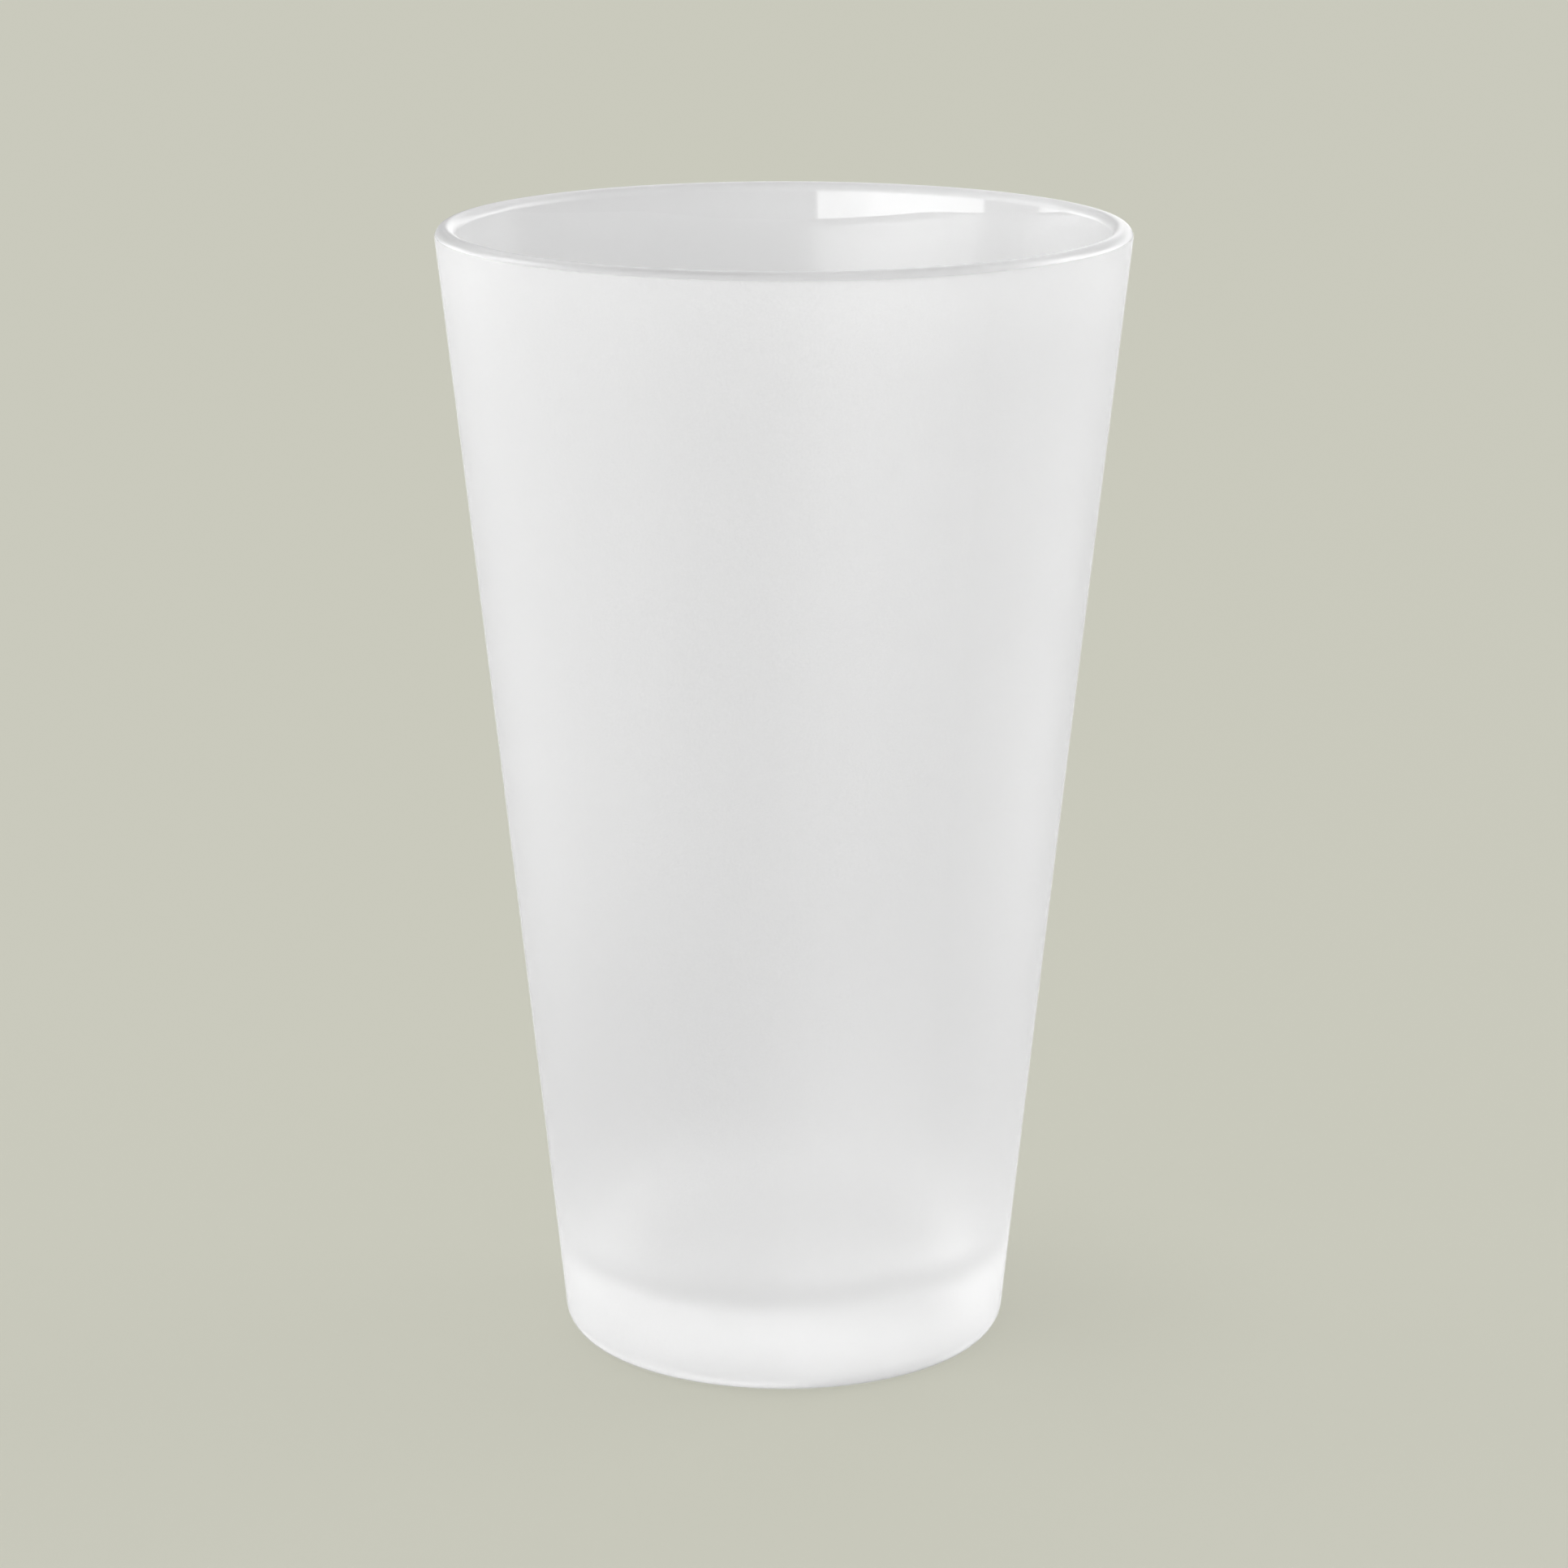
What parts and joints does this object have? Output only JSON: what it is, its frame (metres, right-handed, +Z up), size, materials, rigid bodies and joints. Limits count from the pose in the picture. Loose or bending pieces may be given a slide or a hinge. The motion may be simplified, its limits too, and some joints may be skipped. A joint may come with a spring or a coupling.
{
  "type": "pint glass",
  "caption": "Straight-sided tapered pint tumbler in clear glass with a thick solid base, a satin white frosted outside and a narrow bare rounded lip.",
  "frame": {"origin": "on the axis of the glass, in the plane it stands on", "axes": "+Z up along the axis of the glass, from the base to the open mouth; the glass is round, so +X and +Y are any two level directions at right angles"},
  "size_m": [0.0894, 0.0894, 0.1485],
  "materials": {
    "clear_glass": "clear, fire polished",
    "frosted_coat": "satin frosted, translucent white"
  },
  "bodies": {
    "root": {"glass_body": "clear_glass", "frosted_coat": "frosted_coat"}
  },
  "joints": []
}
